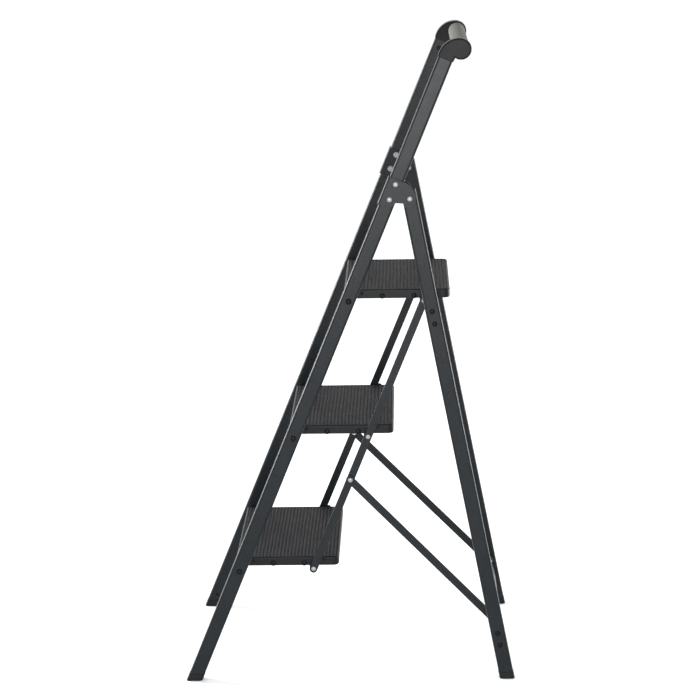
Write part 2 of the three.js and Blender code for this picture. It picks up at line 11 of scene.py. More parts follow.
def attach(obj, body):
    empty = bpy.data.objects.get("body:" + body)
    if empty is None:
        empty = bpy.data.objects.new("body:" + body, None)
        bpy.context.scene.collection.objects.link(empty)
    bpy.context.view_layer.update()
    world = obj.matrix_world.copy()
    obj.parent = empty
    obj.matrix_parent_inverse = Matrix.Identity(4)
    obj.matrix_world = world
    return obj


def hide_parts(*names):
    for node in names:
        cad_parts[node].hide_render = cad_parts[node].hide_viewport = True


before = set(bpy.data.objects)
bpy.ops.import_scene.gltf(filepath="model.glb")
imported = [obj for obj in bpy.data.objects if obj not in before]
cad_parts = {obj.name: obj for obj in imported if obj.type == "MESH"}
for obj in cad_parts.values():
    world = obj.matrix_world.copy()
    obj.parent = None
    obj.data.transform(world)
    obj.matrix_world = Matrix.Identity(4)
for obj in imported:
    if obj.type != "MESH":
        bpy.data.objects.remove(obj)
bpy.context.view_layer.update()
scene = bpy.context.scene

# ---------------------------------------------------------------- dimensions, in millimetres

MM = 0.001
FOOT_HALF_WIDTH = 218.4
SIDE_LEAN = math.radians(1.55)
RAIL_LEAN = math.radians(22.58)
LEG_LEAN = math.radians(10.76)
RAIL_FOOT_Y = -311.5
LEG_FOOT_Y = 312.4
HINGE_Z = 964.9

TUBE_DEEP = 28.6
TUBE_THICK = 20.0
TUBE_WALL = 1.2
TUBE_CORNER = 4.6
TUBE_EDGE = 0.3
RAIL_TOP = 1328.0
LEG_ABOVE_HINGE = 16.0

FIRST_PIVOT_Z = 227.5
PIVOT_SETBACK = 2.0
TREAD_SPACING = 270.0
TREAD_GAP = 31.3
TREAD_FRONT = -10.0
TREAD_REAR = 195.0
TREAD_TOP = 12.0
TREAD_SKIRT = 17.7
TREAD_CORNER_FRONT = 4.0
TREAD_CORNER_REAR = 12.0
SMALLEST_CORNER_FRONT = 0.6
SMALLEST_CORNER_REAR = 1.2
PAN_SHEET = 1.6
PAN_EDGE = 3.0
SKIRT_ROUND = 3.2
SKIRT_LIP = 0.5
RIM_LIP = (0.5, 0.6)
MAT_RIM = 4.0
MAT_RECESS = 2.5
MAT_CLEAR = 0.4
MAT_LIFT = 0.1
MAT_MARGIN = 1.0
MAT_STATIONS = 25
RIB_COUNT = 28
RIB_DEEP = 1.6
# One rib across its pitch: (part of the pitch, drop below the top of the tread).
RIB_SHAPE = (
    (0.0, RIB_DEEP),
    (0.14, RIB_DEEP),
    (0.24, 0.3),
    (0.37, 0.0),
    (0.63, 0.0),
    (0.76, 0.3),
    (0.86, RIB_DEEP),
)
# The ribs wander and their crests sag in waves across the tread: (size, length).
RIB_WANDER = ((0.35, 31.0), (0.2, 13.0))
RIB_SAG = (0.12, 23.0)
CREST_BAND = 0.2
ROD_PLACES = {"front": 64.0, "rear": 125.5}
ROD_Z = -1.2
# Small pieces in a tread's skirts, and its link rivet: (behind its pivot, above its pivot).
SKIRT_RIVET = (25.0, 4.3)
SKIRT_BUFFER = (164.0, 9.8)
LINK_RIVET = (144.5, -9.1)
SKIRT_BUFFER_PROUD = 0.1
SKIRT_PIN_DEEP = 3.0
LUG_RADIUS = 8.5
LUG_TOP = 4.0
LUG_CLEAR = 0.08
LUG_EDGE = 0.3

LINK_PLANE = -42.1
BAR_WIDE = 15.4
BAR_END = 8.7
BAR_THICK = 3.0
BAR_EDGE = 0.6
BRACE_BELOW_RIVET = 93.9
BRACE_LEG_LENGTH = 874.0
BRACE_CLEAR = 0.5
BRACE_PLANE = LINK_PLANE + BAR_THICK + BRACE_CLEAR

BRACKET_SHEET = 2.0
BRACKET_GAP = 0.7
BRACKET_BEND = 3.4
BRACKET_RIVETS = {"upper": 1075.8, "lower": 1044.7}
BRACKET_RIVET_SETBACK = 1.0
BRACKET_LOW = 1028.0
BRACKET_HIGH = 1085.0
BRACKET_EDGE = 0.35
# Rounds of the bracket's side plate: (behind the rail's centre line, up the rail, radius).
BRACKET_LOWER_ROUND = (0.0, 1042.5, 14.0)
BRACKET_NOTCH = (37.5, 1052.5, 11.3)
BRACKET_UPPER_ROUND = (16.5, 1052.8, 32.4)
BRACKET_NOTCH_START = (27.8, 1047.0)

CROSSBAR_HEIGHTS = {"upper": 734.0, "lower": 83.0}
CROSSBAR_SHEET = 1.5
CROSSBAR_BOLT_RISE = 12.4
CROSSBAR_BOLT_CLEAR = 0.5
CROSSBAR_SETBACK = -1.0
CROSSBAR_EDGE = 0.4

SHOE_TALL = 16.0
SHOE_DIP = 2.6
SHOE_PROUD = 0.5
PLUG_LONG = 26.0
# Rounded sole: (inset, height above the floor). Lip at the seam: (inset, drop below the seam).
SOLE_STEPS = ((1.6, 0.0), (0.5, 0.5), (0.0, 1.6))
SEAM_STEPS = ((0.0, 1.0), (0.5, 0.45))

# Rounds of the goose neck: (behind the rail's centre line, up the rail, radius).
CAP_DISC = (20.2, 1356.2, 19.7)
CAP_CREST = (25.0, 1336.0, 41.0)
CAP_NECK = (16.5, 1337.7)
CAP_EDGE = 2.6
CAP_SUNK = 0.5
CAP_PROUD = 1.2
CAP_SIDE_PROUD = 0.8
CAP_PLUG_ROOT = 5.0
CAP_SCREW_S = 1311.0
FOOT_SCREW_S = 30.0
GRIP_RADIUS = 16.5
GRIP_BORE = 11.4
GRIP_FLARE = 0.4
GRIP_END_ROUND = 2.5

# Fasteners: radius of the shank, then (radius, height) of each head and tail.
SHANK = {
    "bracket_rivet": 3.0,
    "hinge_pin": 4.0,
    "tread_bolt": 3.0,
    "link_rivet": 3.0,
    "brace": 2.5,
    "brace_tail": 2.4,
    "crossbar_bolt": 2.4,
    "cap_screw": 2.2,
    "foot_screw": 1.6,
    "tread_rod": 2.4,
    "skirt_rivet": 1.8,
    "skirt_buffer": 2.5,
}
HEAD = {
    "bracket_rivet": (5.0, 2.5),
    "tread_bolt": (5.9, 3.4),
    "link_rivet": (4.6, 2.3),
    "brace_pin": (4.6, 1.8),
    "crossbar_bolt": (5.0, 2.6),
    "cap_screw": (4.4, 2.0),
    "foot_screw": (3.4, 1.4),
    "tread_rod": (5.2, 2.5),
    "skirt_rivet": (2.9, 1.3),
    "skirt_buffer": (4.6, 3.0),
}
TAIL = {
    "bracket_rivet": (6.2, 3.2),
    "hinge_pin": (4.5, 3.2),
    "tread_bolt": (5.6, 4.0),
    "link_rivet": (5.6, 2.2),
    "crossbar_bolt": (4.4, 3.2),
}
# A clenched tail from its inner end to its washer: (height, radius) as parts of the whole.
TAIL_SHAPE = (
    (0.97, 0.18),
    (0.8, 0.32),
    (0.1, 0.42),
    (0.1, 0.56),
    (0.6, 0.68),
    (0.66, 0.8),
    (0.4, 0.94),
)
WASHER_EDGE = 0.3
RIVET_DIMPLE = 0.5
ROD_DIMPLE = 0.4
CAP_SCREW_DIMPLE = 0.9
FOOT_SCREW_DIMPLE = 0.6
CAP_SCREW_DEEP = 5.0
FOOT_SCREW_DEEP = 4.0
BOLT_SHOULDER = 5.1
LINK_SPACER = 6.5
BRACE_SPACER = 5.5
SPACER_EDGE = 0.4
ROD_COLLAR = (4.0, 1.5)
# A turned piece ends in a flat this small round its axis.
AXIS = 0.2

GAP = 0.3
SIDES = {"right": 1, "left": -1}

sin = math.sin
cos = math.cos
tan = math.tan

# ---------------------------------------------------------------- places


def face_x(outward, z):
    """World X of the plane a distance outward of the front rails' outer face."""
    return FOOT_HALF_WIDTH - z * tan(SIDE_LEAN) + outward / cos(SIDE_LEAN)


def on_rail(s, n=0.0):
    """World (y, z) of a point s up a front rail's centre line and n behind it."""
    y = RAIL_FOOT_Y + s * sin(RAIL_LEAN) + n * cos(RAIL_LEAN)
    return y, (s * cos(RAIL_LEAN) - n * sin(RAIL_LEAN)) * cos(SIDE_LEAN)


def rail_y(z):
    return RAIL_FOOT_Y + z * tan(RAIL_LEAN)


def leg_y(z):
    return LEG_FOOT_Y - z * tan(LEG_LEAN)


def crossbar_y(z):
    return leg_y(z) + CROSSBAR_SETBACK / cos(LEG_LEAN)


HINGE_Y = leg_y(HINGE_Z)
TREADS = []
for index, tread_name in enumerate(("bottom", "middle", "top")):
    pivot_z = FIRST_PIVOT_Z + index * TREAD_SPACING
    pivot_y = rail_y(pivot_z) + PIVOT_SETBACK / cos(RAIL_LEAN)
    half_width = face_x(-TUBE_THICK, pivot_z + TREAD_TOP) - TREAD_GAP
    TREADS.append((tread_name, pivot_y, pivot_z, half_width))

LINK_RIVETS = [(y + LINK_RIVET[0], z + LINK_RIVET[1]) for _, y, z, _ in TREADS]
BRACE_HEAD = (
    LINK_RIVETS[1][0] - BRACE_BELOW_RIVET * sin(RAIL_LEAN),
    LINK_RIVETS[1][1] - BRACE_BELOW_RIVET * cos(RAIL_LEAN),
)
BRACE_FOOT = (
    HINGE_Y + BRACE_LEG_LENGTH * sin(LEG_LEAN),
    HINGE_Z - BRACE_LEG_LENGTH * cos(LEG_LEAN),
)

# ---------------------------------------------------------------- outlines


def arc(centre_x, centre_y, radius, start, end, steps):
    angles = np.radians(np.linspace(start, end, steps + 1))
    return np.column_stack((centre_x + radius * np.cos(angles), centre_y + radius * np.sin(angles)))


def outline_of(*parts):
    """One closed outline from lists of points, without repeated points."""
    points = np.vstack([np.reshape(part, (-1, 2)) for part in parts])
    step = np.linalg.norm(points - np.roll(points, 1, axis=0), axis=1)
    return points[step > 1e-4]


def rounded_rectangle(x, y, wide, tall, radius, steps=6):
    right = x + wide / 2 - radius
    left = x - wide / 2 + radius
    high = y + tall / 2 - radius
    low = y - tall / 2 + radius
    return np.vstack(
        (
            arc(right, high, radius, 0, 90, steps),
            arc(left, high, radius, 90, 180, steps),
            arc(left, low, radius, 180, 270, steps),
            arc(right, low, radius, 270, 360, steps),
        )
    )


def drawn_in(outline, inset):
    """The outline (counter-clockwise) moved inward by the inset."""
    before = outline - np.roll(outline, 1, axis=0)
    after = np.roll(outline, -1, axis=0) - outline
    normals = []
    for edge in (before, after):
        normal = np.column_stack((-edge[:, 1], edge[:, 0]))
        normals.append(normal / np.linalg.norm(normal, axis=1)[:, None])
    bend = 1 + np.sum(normals[0] * normals[1], axis=1)
    return outline + (normals[0] + normals[1]) * (inset / bend)[:, None]


def tube_outline(grow):
    centre = -TUBE_THICK / 2
    wide = TUBE_THICK + 2 * grow
    tall = TUBE_DEEP + 2 * grow
    return rounded_rectangle(centre, 0, wide, tall, TUBE_CORNER + grow)


# ---------------------------------------------------------------- solids, as (points, faces)


def loft(rings, closed=False):
    """Skin over rings of equal length; the two end rings are capped unless it closes on itself."""
    count = len(rings[0])
    total = len(rings)
    faces = []
    for ring in range(total if closed else total - 1):
        near = ring * count
        far = ((ring + 1) % total) * count
        for i in range(count):
            j = (i + 1) % count
            faces.append((near + i, near + j, far + j, far + i))
    if not closed:
        faces.append(tuple(range(count)))
        faces.append(tuple(range((total - 1) * count, total * count)))
    return np.vstack(rings), faces


def merged(*solids):
    points = []
    faces = []
    start = 0
    for some_points, some_faces in solids:
        points.append(some_points)
        faces += [tuple(i + start for i in face) for face in some_faces]
        start += len(some_points)
    return np.vstack(points), faces


def at_height(outline, height):
    """Ring along +Z from an outline; height is a number or a function of (x, y)."""
    if callable(height):
        z = np.array([height(x, y) for x, y in outline])
    else:
        z = np.full(len(outline), height)
    return np.column_stack((outline, z))


def lathe(profile, segments=32, closed=False):
    """Body of revolution about X from (x, radius) steps; closed joins its two ends inside."""
    angles = np.linspace(0, 2 * math.pi, segments, endpoint=False)
    rings = []
    for x, radius in profile:
        ring = (np.full(segments, x), radius * np.cos(angles), radius * np.sin(angles))
        rings.append(np.column_stack(ring))
    return loft(rings, closed)


def edged_plate(outline, inner, outer, edge, steps=3, foot=None, sunk=0.0):
    """Plate drawn as [n, s] between two distances outward, with rounded edges but at the foot.

    Its faces may lie a little sunk inside the rounded edge.
    """
    rings = []
    if sunk:
        ring = drawn_in(outline, edge + sunk)
        ring[np.abs(outline[:, 1] - foot) < 1e-6, 1] = foot
        rings.append((sunk, ring))
    for k in range(steps + 1):
        turn = k / steps * math.pi / 2
        ring = drawn_in(outline, edge * (1 - sin(turn)))
        if foot is not None:
            ring[np.abs(outline[:, 1] - foot) < 1e-6, 1] = foot
        rings.append((edge * (1 - cos(turn)), ring))
    low = [np.column_stack((np.full(len(ring), inner + x), ring)) for x, ring in rings]
    high = [np.column_stack((np.full(len(ring), outer - x), ring)) for x, ring in rings]
    return loft(low + high[::-1])


def leaned(solid, angle, foot_y):
    """Leans a solid drawn along +Z so that it follows a rail or, with a negative angle, a leg."""
    points, faces = solid
    x, y, z = points.T
    turned = (x, foot_y + y * cos(angle) + z * sin(angle), z * cos(angle) - y * sin(angle))
    return np.column_stack(turned), faces


def on_side(solid):
    """From the right side's leaning frame to the world, still in millimetres."""
    points, faces = solid
    x, y, z = points.T
    world_x = FOOT_HALF_WIDTH + x * cos(SIDE_LEAN) - z * sin(SIDE_LEAN)
    world_z = x * sin(SIDE_LEAN) + z * cos(SIDE_LEAN)
    return np.column_stack((world_x, y, world_z)), faces


def moved(solid, y, z, x=0.0):
    return solid[0] + np.array((x, y, z)), solid[1]


def flipped(solid):
    return solid[0] * np.array((-1, 1, 1)), solid[1]


def level_cut(z, angle):
    """End cut of a leaning tube that is level at world height z."""

    def height(x, y):
        return ((z - x * sin(SIDE_LEAN)) / cos(SIDE_LEAN) + y * sin(angle)) / cos(angle)

    return height


# ---------------------------------------------------------------- materials


def new_material(name, color, roughness, metallic=0.0, specular=0.5):
    material = bpy.data.materials.new(name)
    material.use_nodes = True
    shader = material.node_tree.nodes["Principled BSDF"]
    shader.inputs["Base Color"].default_value = (*color, 1)
    shader.inputs["Roughness"].default_value = roughness
    shader.inputs["Metallic"].default_value = metallic
    shader.inputs["Specular IOR Level"].default_value = specular
    return material, shader


class Maker:
    """Adds the nodes of one material."""

    def __init__(self, material, shader):
        self.nodes = material.node_tree.nodes
        self.links = material.node_tree.links
        self.shader = shader
        self.place = self.nodes.new("ShaderNodeTexCoord").outputs["Object"]

    def stretched(self, scale):
        mapping = self.nodes.new("ShaderNodeMapping")
        mapping.inputs["Scale"].default_value = scale
        self.links.new(self.place, mapping.inputs["Vector"])
        return mapping.outputs["Vector"]

    def noise(self, scale, detail=3.0, vector=None):
        node = self.nodes.new("ShaderNodeTexNoise")
        node.inputs["Scale"].default_value = scale
        node.inputs["Detail"].default_value = detail
        self.links.new(vector or self.place, node.inputs["Vector"])
        return node.outputs["Fac"]

    def ramp(self, value, stops):
        node = self.nodes.new("ShaderNodeValToRGB")
        elements = node.color_ramp.elements
        while len(elements) < len(stops):
            elements.new(0.5)
        for element, (position, color) in zip(elements, stops):
            element.position = position
            element.color = (*color, 1)
        self.links.new(value, node.inputs["Fac"])
        return node.outputs["Color"]

    def spread(self, value, low, high):
        node = self.nodes.new("ShaderNodeMapRange")
        node.inputs["From Min"].default_value = 0.3
        node.inputs["From Max"].default_value = 0.7
        node.inputs["To Min"].default_value = low
        node.inputs["To Max"].default_value = high
        self.links.new(value, node.inputs["Value"])
        return node.outputs["Result"]

    def color(self, value):
        self.links.new(value, self.shader.inputs["Base Color"])

    def roughness(self, value):
        self.links.new(value, self.shader.inputs["Roughness"])

    def bump(self, *layers):
        """Layers of (height, distance in metres, strength)."""
        normal = None
        for height, distance, strength in layers:
            node = self.nodes.new("ShaderNodeBump")
            node.inputs["Distance"].default_value = distance
            node.inputs["Strength"].default_value = strength
            self.links.new(height, node.inputs["Height"])
            if normal is not None:
                self.links.new(normal, node.inputs["Normal"])
            normal = node.outputs["Normal"]
        self.links.new(normal, self.shader.inputs["Normal"])


def black_paint():
    """Satin powder coat: fine orange peel, faint cloudiness in colour and gloss."""
    material, shader = new_material("black_paint", (0.007, 0.009, 0.011), 0.28, specular=0.135)
    make = Maker(material, shader)
    stops = [(0.3, (0.0058, 0.0078, 0.0096)), (0.7, (0.0082, 0.0104, 0.0122))]
    make.color(make.ramp(make.noise(14, 2), stops))
    make.roughness(make.spread(make.noise(60, 3), 0.265, 0.3))
    make.bump((make.noise(900, 2), 0.0001, 0.3), (make.noise(3500, 1), 0.00004, 0.4))
    return material


def shaded_tray_paint():
    """The same powder coat on the pressed trays, flatter in gloss, with its colour darkened as painted
    shade.
    """
    material, shader = new_material("shaded_tray_paint", (0.005, 0.006, 0.0068), 0.34, specular=0.13)
    make = Maker(material, shader)
    # Colours darker than black_paint's: painted shade on the trays, not a different paint.
    stops = [(0.3, (0.003, 0.004, 0.0045)), (0.7, (0.0048, 0.006, 0.0066))]
    make.color(make.ramp(make.noise(14, 2), stops))
    make.roughness(make.spread(make.noise(60, 3), 0.31, 0.38))
    make.bump((make.noise(900, 2), 0.00012, 0.35))
    return material


def mat_rubber():
    """Dark grey rubber: matt, a little worn and dusty on the ribs."""
    material, shader = new_material("mat_rubber", (0.016, 0.016, 0.018), 0.6, specular=0.13)
    make = Maker(material, shader)
    streak = make.noise(28, 4, make.stretched((1, 2.5, 1)))
    stops = [
        (0.28, (0.012, 0.0125, 0.0142)),
        (0.5, (0.0155, 0.016, 0.0178)),
        (0.75, (0.021, 0.0212, 0.0225)),
    ]
    make.color(make.ramp(streak, stops))
    make.roughness(make.spread(make.noise(150, 3), 0.52, 0.68))
    make.bump((make.noise(1800, 3), 0.0002, 0.5))
    return material


def black_plastic():
    """Moulded plastic with a fine spark-eroded grain."""
    material, shader = new_material("black_plastic", (0.006, 0.006, 0.006), 0.35, specular=0.085)
    make = Maker(material, shader)
    stops = [(0.3, (0.0045, 0.0045, 0.0045)), (0.7, (0.008, 0.008, 0.008))]
    make.color(make.ramp(make.noise(30, 2), stops))
    make.roughness(make.spread(make.noise(400, 2), 0.31, 0.4))
    make.bump((make.noise(2600, 2), 0.0001, 0.4))
    return material


def foot_plastic():
    """The shoes' plastic, glossier than the caps' so that it looks like the paint above it."""
    material, shader = new_material("foot_plastic", (0.004, 0.0055, 0.0065), 0.3, specular=0.15)
    make = Maker(material, shader)
    stops = [(0.3, (0.003, 0.0042, 0.005)), (0.7, (0.0048, 0.0062, 0.0072))]
    make.color(make.ramp(make.noise(30, 2), stops))
    make.roughness(make.spread(make.noise(400, 2), 0.28, 0.36))
    make.bump((make.noise(2600, 2), 0.0001, 0.3))
    return material


def zinc_steel():
    """Bright zinc plate: small clouds in its shine, fine turning marks."""
    material, shader = new_material("zinc_steel", (0.25, 0.26, 0.26), 0.34, metallic=0.6)
    make = Maker(material, shader)
    stops = [(0.3, (0.21, 0.22, 0.222)), (0.7, (0.30, 0.305, 0.30))]
    make.color(make.ramp(make.noise(420, 3), stops))
    make.roughness(make.spread(make.noise(700, 2), 0.29, 0.4))
    make.bump((make.noise(2400, 2, make.stretched((4, 1, 1))), 0.00005, 0.3))
    return material


def black_steel():
    """Black oxide: darker and glossier than the paint."""
    material, shader = new_material("black_steel", (0.003, 0.003, 0.004), 0.19, specular=0.09)
    make = Maker(material, shader)
    stops = [(0.3, (0.002, 0.002, 0.003)), (0.7, (0.004, 0.004, 0.005))]
    make.color(make.ramp(make.noise(300, 2), stops))
    make.roughness(make.spread(make.noise(500, 2), 0.16, 0.22))
    make.bump((make.noise(2000, 2), 0.00005, 0.3))
    return material


def grip_foam():
    """Closed-cell foam: light grey with fine pores and speckles."""
    material, shader = new_material("grip_foam", (0.11, 0.11, 0.1), 0.9, specular=0.12)
    make = Maker(material, shader)
    stops = [
        (0.36, (0.046, 0.046, 0.042)),
        (0.48, (0.108, 0.111, 0.101)),
        (0.62, (0.178, 0.178, 0.162)),
    ]
    make.color(make.ramp(make.noise(750, 5), stops))
    make.roughness(make.spread(make.noise(600, 2), 0.84, 0.96))
    make.bump((make.noise(1300, 3), 0.0005, 0.7))
    return material


def bare_steel():
    """Drawn tube: grey steel with marks along its length."""
    material, shader = new_material("bare_steel", (0.42, 0.43, 0.44), 0.4, metallic=1.0)
    make = Maker(material, shader)
    drawn = make.noise(500, 3, make.stretched((0.05, 1, 1)))
    make.color(make.ramp(drawn, [(0.3, (0.36, 0.37, 0.38)), (0.7, (0.47, 0.48, 0.49))]))
    make.roughness(make.spread(drawn, 0.34, 0.5))
    return material


MATERIALS = {
    "black_paint": black_paint(),
    # The trays' material is the powder coat darkened with painted shade.
    "shaded_tray_paint": shaded_tray_paint(),
    "mat_rubber": mat_rubber(),
    "black_plastic": black_plastic(),
    "foot_plastic": foot_plastic(),
    "zinc_steel": zinc_steel(),
    "black_steel": black_steel(),
    "grip_foam": grip_foam(),
    "bare_steel": bare_steel(),
}

# ---------------------------------------------------------------- adding pieces


def add_piece(name, solid, body, slot, replaced=(), crease=32, finish=None):
    """One closed mesh, drawn in world millimetres, that rides on a body.

    Its material is that of its slot or, with a finish, a variant of it.
    """
    points, faces = solid
    mesh = bpy.data.meshes.new(name)
    mesh.from_pydata((points * MM).tolist(), [], faces)
    shape = bmesh.new()
    shape.from_mesh(mesh)
    bmesh.ops.remove_doubles(shape, verts=shape.verts, dist=1e-7)
    bmesh.ops.recalc_face_normals(shape, faces=shape.faces)
    shape.to_mesh(mesh)
    shape.free()
    mesh.polygons.foreach_set("use_smooth", [True] * len(mesh.polygons))
    mesh.set_sharp_from_angle(angle=math.radians(crease))
    mesh.materials.append(MATERIALS[finish or slot])
    piece = bpy.data.objects.new(name, mesh)
    scene.collection.objects.link(piece)
    flatness = piece.modifiers.new("flat_faces", "WEIGHTED_NORMAL")
    flatness.keep_sharp = True
    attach(piece, body)
    if replaced:
        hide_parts(*replaced)
    return piece


def add_pair(name, node, solid, body, slot, finish=None):
    """A right-hand solid and its mirror image; {} in node and body stands for the side."""
    for side, sign in SIDES.items():
        one = solid if sign > 0 else flipped(solid)
        replaced = [node.format(side)] if node else []
        add_piece(f"{name}_{side}", one, body.format(side), slot, replaced, finish=finish)


# ---------------------------------------------------------------- front rails, rear legs, shoes


def dipped_cut(angle, lift=0.0):
    """The seam between a tube and its shoe: it dips in the middle of the wide face."""
    level = level_cut(SHOE_TALL, angle)

    def height(x, y):
        dip = SHOE_DIP * max(0.0, 1 - (y / (TUBE_DEEP / 2)) ** 2)
        return level(x, y) - dip + lift

    return height


def open_tube(low, high):
    outer = tube_outline(0)
    inner = tube_outline(-TUBE_WALL)
    eased = tube_outline(-TUBE_EDGE)
    rings = [
        at_height(outer, low),
        at_height(outer, high - TUBE_EDGE),
        at_height(eased, high),
        at_height(inner, high),
        at_height(inner, low),
    ]
    return loft(rings, closed=True)


def shoe(angle):
    """Shoe with an eased sole, a step at the seam and a plug up inside the tube."""
    sole = level_cut(0, angle)
    body = tube_outline(SHOE_PROUD)
    plug = tube_outline(-TUBE_WALL - GAP)
    rings = []
    for inset, rise in SOLE_STEPS:
        rings.append(at_height(drawn_in(body, inset), lambda x, y: sole(x, y) + rise))
    for inset, drop in SEAM_STEPS:
        seam = dipped_cut(angle, -drop)
        rings.append(at_height(drawn_in(body, inset), seam))
    rings.append(at_height(plug, seam))
    rings.append(at_height(plug, SHOE_TALL / cos(angle) + PLUG_LONG))
    return loft(rings)


def add_tubes():
    leg_top = HINGE_Z / cos(SIDE_LEAN) / cos(LEG_LEAN) + LEG_ABOVE_HINGE
    rail = leaned(open_tube(dipped_cut(RAIL_LEAN), RAIL_TOP), RAIL_LEAN, RAIL_FOOT_Y)
    leg = leaned(open_tube(dipped_cut(-LEG_LEAN), leg_top), -LEG_LEAN, LEG_FOOT_Y)
    front_shoe = leaned(shoe(RAIL_LEAN), RAIL_LEAN, RAIL_FOOT_Y)
    rear_shoe = leaned(shoe(-LEG_LEAN), -LEG_LEAN, LEG_FOOT_Y)
    add_pair("rail", "front_rail_{}", on_side(rail), "front_frame", "black_paint")
    add_pair("leg", "rear_leg_{}", on_side(leg), "rear_frame", "black_paint")
    for name, solid in (("front", front_shoe), ("rear", rear_shoe)):
        node = f"{name}_foot_{{}}"
        body = f"{name}_frame"
        add_pair(f"{name}_shoe", node, on_side(solid), body, "black_plastic", "foot_plastic")


# ---------------------------------------------------------------- fasteners


def domed(x, head, dimple=0.0):
    """Profile of a low domed head that stands outward from x, with an optional dimple."""
    radius, tall = head
    profile = [(x, radius * 0.96), (x + 0.15 * tall, radius)]
    turns = (15, 30, 45, 60) if dimple else (15, 30, 45, 60, 72, 82)
    for angle in np.radians(turns):
        profile.append((x + tall * (0.2 + 0.8 * sin(angle)), radius * (0.03 + 0.97 * cos(angle))))
    if dimple:
        brim = x + tall * 0.93
        profile += [(brim, radius * 0.4), (brim - dimple, radius * 0.3), (brim - dimple, AXIS)]
    else:
        profile.append((x + tall, AXIS))
    return profile


def clenched(x, tail):
    """Profile of a clenched tail on a washer, from its inner end outward to x."""
    radius, tall = tail
    profile = [(x - tall, AXIS)]
    profile += [(x - tall * high, radius * wide) for high, wide in TAIL_SHAPE]
    return [*profile, (x - WASHER_EDGE, radius), (x, radius * 0.96)]


def spacer(start, end, shank, radius):
    """Profile of a spacer with eased ends round a shank."""
    return [
        (start, shank),
        (start, radius - SPACER_EDGE),
        (start + SPACER_EDGE, radius),
        (end - SPACER_EDGE, radius),
        (end, radius - SPACER_EDGE),
        (end, shank),
    ]


def bracket_rivet(kind, z):
    shank = SHANK[kind]
    outer = face_x(BRACKET_GAP + BRACKET_SHEET, z) + GAP
    inner = face_x(-TUBE_THICK - BRACKET_GAP - BRACKET_SHEET, z) - GAP
    head = domed(outer, HEAD["bracket_rivet"], RIVET_DIMPLE)
    return lathe([*clenched(inner, TAIL[kind]), (inner, shank), (outer, shank), *head])


def tread_bolt(z, half_width):
    shank = SHANK["tread_bolt"]
    nut = half_width - PAN_SHEET - GAP
    shoulder = spacer(half_width + GAP, face_x(-TUBE_THICK, z) - GAP, shank, BOLT_SHOULDER)
    outer = face_x(0, z) + GAP
    head = domed(outer, HEAD["tread_bolt"])
    return lathe([*clenched(nut, TAIL["tread_bolt"]), (nut, shank), *shoulder, (outer, shank), *head])


def link_rivet(z, half_width):
    shank = SHANK["link_rivet"]
    lug = half_width - PAN_SHEET - GAP
    bar = face_x(LINK_PLANE - BAR_THICK / 2, z) - GAP
    between = spacer(half_width + GAP, bar, shank, LINK_SPACER)
    outer = face_x(LINK_PLANE + BAR_THICK / 2, z) + GAP
    head = domed(outer, HEAD["link_rivet"], RIVET_DIMPLE)
    return lathe([*clenched(lug, TAIL["link_rivet"]), (lug, shank), *between, (outer, shank), *head])


def brace_rivet(z):
    shank = SHANK["brace"]
    inner = face_x(BRACE_PLANE - BAR_THICK / 2, z)
    outer = face_x(BRACE_PLANE + BAR_THICK / 2, z) + GAP
    return lathe([(inner, shank), (outer, shank), *domed(outer, HEAD["link_rivet"], RIVET_DIMPLE)])


def brace_rivet_tail(z):
    shank = SHANK["brace_tail"]
    inner = face_x(LINK_PLANE - BAR_THICK / 2, z) - GAP
    outer = face_x(LINK_PLANE + BAR_THICK / 2, z)
    return lathe([*clenched(inner, TAIL["link_rivet"]), (inner, shank), (outer, shank)])


def brace_pin(z):
    """Pin from the brace's inner face, through a spacer, to a head inside the leg's tube."""
    shank = SHANK["brace"]
    inner = face_x(BRACE_PLANE - BAR_THICK / 2, z) - GAP
    brace_face = face_x(BRACE_PLANE + BAR_THICK / 2, z) + GAP
    leg_face = face_x(-TUBE_THICK, z) - GAP
    between = spacer(brace_face, leg_face, shank, BRACE_SPACER)
    wall = face_x(-TUBE_THICK + TUBE_WALL, z) + GAP
    head = domed(wall, HEAD["brace_pin"])
    return lathe([*clenched(inner, TAIL["link_rivet"]), (inner, shank), *between, (wall, shank), *head])


def crossbar_bolt(z):
    shank = SHANK["crossbar_bolt"]
    outer = face_x(0, z) + GAP
    inner = face_x(-TUBE_THICK, z) - GAP - CROSSBAR_SHEET - CROSSBAR_BOLT_CLEAR
    head = domed(outer, HEAD["crossbar_bolt"])
    return lathe([*clenched(inner, TAIL["crossbar_bolt"]), (inner, shank), (outer, shank), *head])


def inner_screw(kind, z, dimple, deep):
    """Screw into a rail's inner face, with its head toward the middle of the stool."""
    face = face_x(-TUBE_THICK, z) - GAP
    head = [(2 * face - x, radius) for x, radius in domed(face, HEAD[kind], dimple)]
    return lathe([*head[::-1], (face, SHANK[kind]), (face + deep, SHANK[kind])])


def add_pin(name, node, solid, place, body, slot):
    add_pair(name, node, moved(solid, *place), body, slot)


def add_bracket_rivets():
    for name, s in BRACKET_RIVETS.items():
        place = on_rail(s, BRACKET_RIVET_SETBACK)
        rivet = bracket_rivet("bracket_rivet", place[1])
        node = f"bracket_rivet_{name}_{{}}"
        add_pin(f"rivet_{name}", node, rivet, place, "front_frame", "zinc_steel")
    hinge = bracket_rivet("hinge_pin", HINGE_Z)
    add_pin("leg_pin", "hinge_pin_{}", hinge, (HINGE_Y, HINGE_Z), "front_frame", "zinc_steel")


